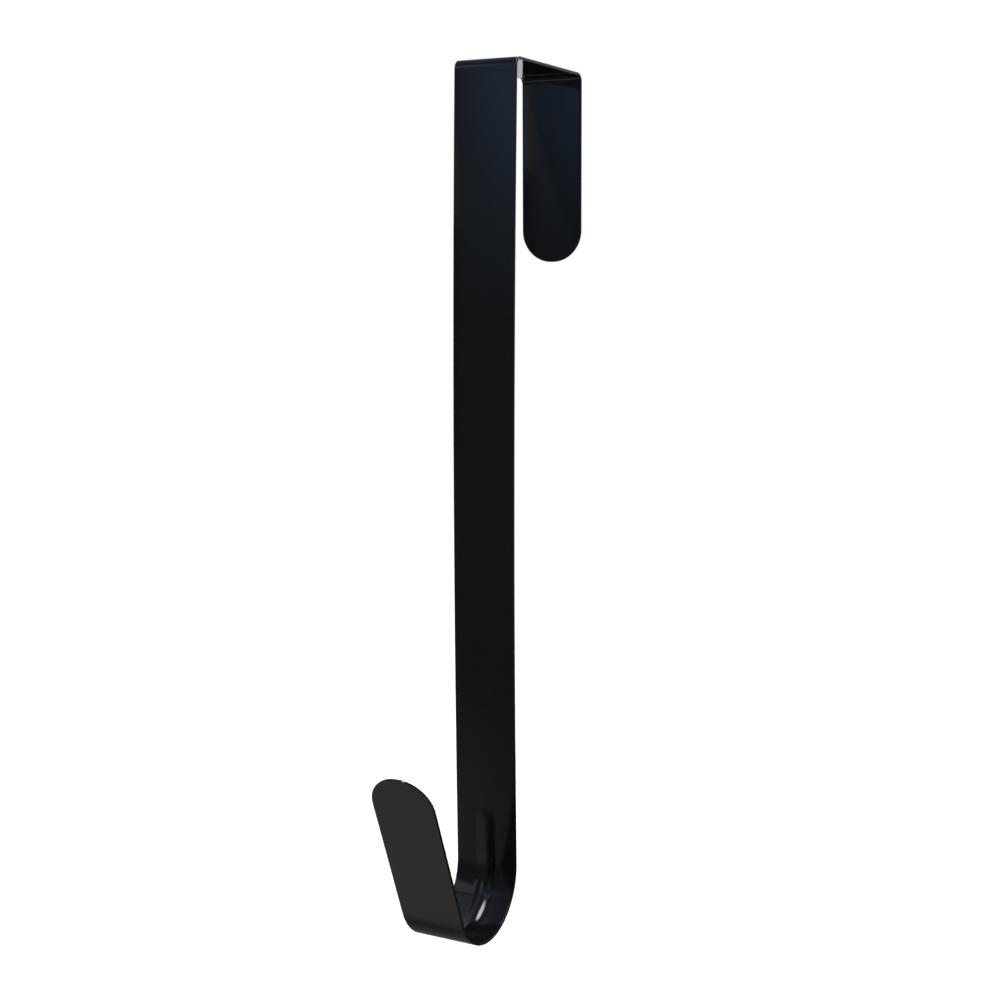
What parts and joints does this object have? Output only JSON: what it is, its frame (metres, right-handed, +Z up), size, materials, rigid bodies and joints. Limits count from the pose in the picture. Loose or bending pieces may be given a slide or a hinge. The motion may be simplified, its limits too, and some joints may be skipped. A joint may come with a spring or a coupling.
{
  "type": "wreath hanger",
  "caption": "Over-the-door wreath hanger: one flat steel strip with a square saddle at the top, a short round-ended back leg and a round-ended open hook, with a shallow rib where it begins.",
  "frame": {"origin": "centre of the underside of the bridge, where the hanger rests on top of the door", "axes": "+Z up; X across the strip; -Y towards the side of the door that shows, where the hook opens; +Y behind the door"},
  "size_m": [0.024, 0.1127, 0.3045],
  "materials": {
    "black_paint": "semi-gloss black powder coat over mild steel strip"
  },
  "bodies": {
    "root": {"hanger_strip": "black_paint"}
  },
  "joints": []
}
